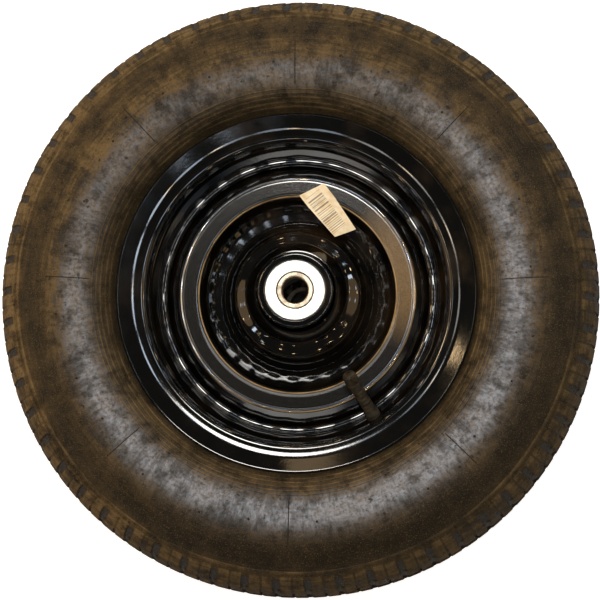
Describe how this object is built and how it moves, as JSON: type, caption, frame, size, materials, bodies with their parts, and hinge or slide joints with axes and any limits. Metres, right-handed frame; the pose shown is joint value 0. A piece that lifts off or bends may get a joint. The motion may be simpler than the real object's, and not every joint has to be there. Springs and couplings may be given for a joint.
{
  "type": "wheelbarrow wheel",
  "caption": "Barrow wheel with a notched air tyre, a pressed steel drop-centre wheel, a ball bearing hub and an angled rubber valve.",
  "frame": {"origin": "centre of the wheel, on the axle line in the tyre's middle plane", "axes": "+Z along the axle line towards the side with the valve, +X and +Y in the wheel's plane"},
  "size_m": [0.3994, 0.3988, 0.102],
  "materials": {
    "tyre_rubber": "black rubber under a film of tan dust",
    "tube_rubber": "plain black rubber",
    "stem_rubber": "brown-black dusty rubber",
    "black_paint": "gloss black paint on pressed steel",
    "bearing_steel": "ground bearing steel",
    "shield_steel": "bright plated steel",
    "ball_steel": "polished steel",
    "valve_brass": "plain brass",
    "cap_plastic": "brown-black dusty plastic",
    "label_paper": "warm cream paper with plain dark bars"
  },
  "bodies": {
    "wheel": {"tyre": "tyre_rubber", "inner_tube": "tube_rubber", "rim_barrel": "black_paint", "front_disc": "black_paint", "rear_disc": "black_paint", "hub_tube": "black_paint", "front_outer_ring": "bearing_steel", "front_shield": "shield_steel", "rear_outer_ring": "bearing_steel", "rear_shield": "shield_steel", "valve_stem": "stem_rubber", "valve_insert": "valve_brass", "valve_core": "valve_brass", "paper_label": "label_paper"},
    "front_race": {"front_inner_ring": "bearing_steel"},
    "rear_race": {"rear_inner_ring": "bearing_steel"},
    "front_balls": {"front_ball_cage": "bearing_steel", "front_ball_1": "ball_steel", "front_ball_2": "ball_steel", "front_ball_3": "ball_steel", "front_ball_4": "ball_steel", "front_ball_5": "ball_steel", "front_ball_6": "ball_steel", "front_ball_7": "ball_steel", "front_ball_8": "ball_steel"},
    "rear_balls": {"rear_ball_cage": "bearing_steel", "rear_ball_1": "ball_steel", "rear_ball_2": "ball_steel", "rear_ball_3": "ball_steel", "rear_ball_4": "ball_steel", "rear_ball_5": "ball_steel", "rear_ball_6": "ball_steel", "rear_ball_7": "ball_steel", "rear_ball_8": "ball_steel"},
    "cap": {"valve_cap": "cap_plastic"},
    "pin": {"valve_pin": "valve_brass"}
  },
  "joints": [
    {"name": "front_race_spin", "type": "hinge", "parent": "wheel", "child": "front_race", "pos_m": [0, 0, 0.0435], "axis": [0, 0, 1], "continuous": true},
    {"name": "rear_race_spin", "type": "hinge", "parent": "wheel", "child": "rear_race", "pos_m": [0, 0, -0.0435], "axis": [0, 0, 1], "continuous": true},
    {"name": "front_balls_roll", "type": "hinge", "parent": "wheel", "child": "front_balls", "pos_m": [0, 0, 0.0435], "axis": [0, 0, 1], "continuous": true},
    {"name": "rear_balls_roll", "type": "hinge", "parent": "wheel", "child": "rear_balls", "pos_m": [0, 0, -0.0435], "axis": [0, 0, 1], "continuous": true},
    {"name": "cap_off", "type": "slide", "parent": "wheel", "child": "cap", "axis": [-0.4132, 0.6613, 0.626], "range_m": [0, 0.025]},
    {"name": "pin_press", "type": "slide", "parent": "wheel", "child": "pin", "axis": [0.4132, -0.6613, -0.626], "range_m": [0, 0.0012], "stiffness_N_per_m": 300}
  ],
  "couplings": [
    {"joint": "front_balls_roll", "follows": "front_race_spin", "ratio": 0.38074},
    {"joint": "rear_balls_roll", "follows": "rear_race_spin", "ratio": 0.38074}
  ]
}
